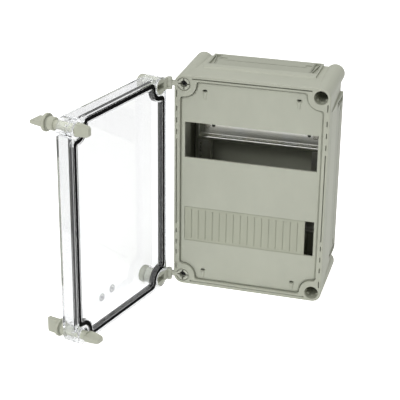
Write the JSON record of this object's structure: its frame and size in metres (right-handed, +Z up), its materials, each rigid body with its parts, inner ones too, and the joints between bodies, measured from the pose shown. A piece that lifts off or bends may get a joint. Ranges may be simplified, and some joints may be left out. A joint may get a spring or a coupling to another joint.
{
  "type": "wall enclosure for din rail modules",
  "caption": "Wall enclosure for DIN rail modules: grey box with module cover plate, rails, flange plates and a clear hinged lid with quarter-turn screws.",
  "frame": {"origin": "centre of the four wall-fixing holes, on the back plane", "axes": "+Z up, +X to the right seen from the front, +Y into the wall; the front faces -Y"},
  "size_m": [0.306, 0.2871, 0.28],
  "materials": {
    "base": "fine matt moulded polycarbonate, light grey",
    "plate": "fine matt moulded plastic, light grey",
    "strip": "fine matt moulded plastic, light grey",
    "flange": "fine matt moulded plastic, light grey",
    "hinge": "polyamide, light grey",
    "lid_screw": "polyamide, light grey",
    "lid": "clear polished polycarbonate",
    "gasket": "black foam",
    "seal": "black rubber",
    "ring": "grey elastomer",
    "rail": "zinc plated, passivated",
    "upright": "zinc plated sheet",
    "screw": "zinc plated",
    "pin": "plain steel"
  },
  "bodies": {
    "base": {"base_box": "base", "cover_plate": "plate", "blanking_strip": "strip", "din_rail_upper": "rail", "din_rail_lower": "rail", "rail_upright_left": "upright", "rail_upright_right": "upright", "rail_screws": "screw", "upright_screws": "screw", "flange_plate_top": "flange", "flange_plate_bottom": "flange", "flange_plate_left": "flange", "flange_plate_right": "flange", "flange_seal_top": "seal", "flange_seal_bottom": "seal", "flange_seal_left": "seal", "flange_seal_right": "seal", "flange_clips_top": "flange", "flange_clips_bottom": "flange", "flange_clips_left": "flange", "flange_clips_right": "flange", "hinge_base_upper": "hinge", "hinge_base_lower": "hinge", "hinge_fixing_screws": "hinge"},
    "lid": {"hinge_pin_upper": "pin", "hinge_pin_lower": "pin", "hinge_leaf_upper": "hinge", "hinge_leaf_lower": "hinge", "hinge_cap_upper": "hinge", "hinge_cap_lower": "hinge", "lid_shell": "lid", "lid_gasket": "gasket"},
    "screw_upper": {"lid_screw_upper": "lid_screw", "lid_screw_seal_upper": "ring"},
    "screw_lower": {"lid_screw_lower": "lid_screw", "lid_screw_seal_lower": "ring"}
  },
  "joints": [
    {"name": "lid_hinge", "type": "hinge", "parent": "base", "child": "lid", "pos_m": [-0.101, -0.098, 0], "axis": [0, 0, 1], "range_deg": [-74.3, 105.7]},
    {"name": "upper_screw_turn", "type": "hinge", "parent": "lid", "child": "screw_upper", "pos_m": [-0.15116, -0.27534, 0.1283], "axis": [-0.9627, 0.2706, 0], "range_deg": [0, 90]},
    {"name": "lower_screw_turn", "type": "hinge", "parent": "lid", "child": "screw_lower", "pos_m": [-0.15116, -0.27534, -0.1283], "axis": [-0.9627, 0.2706, 0], "range_deg": [-90, 0]}
  ]
}
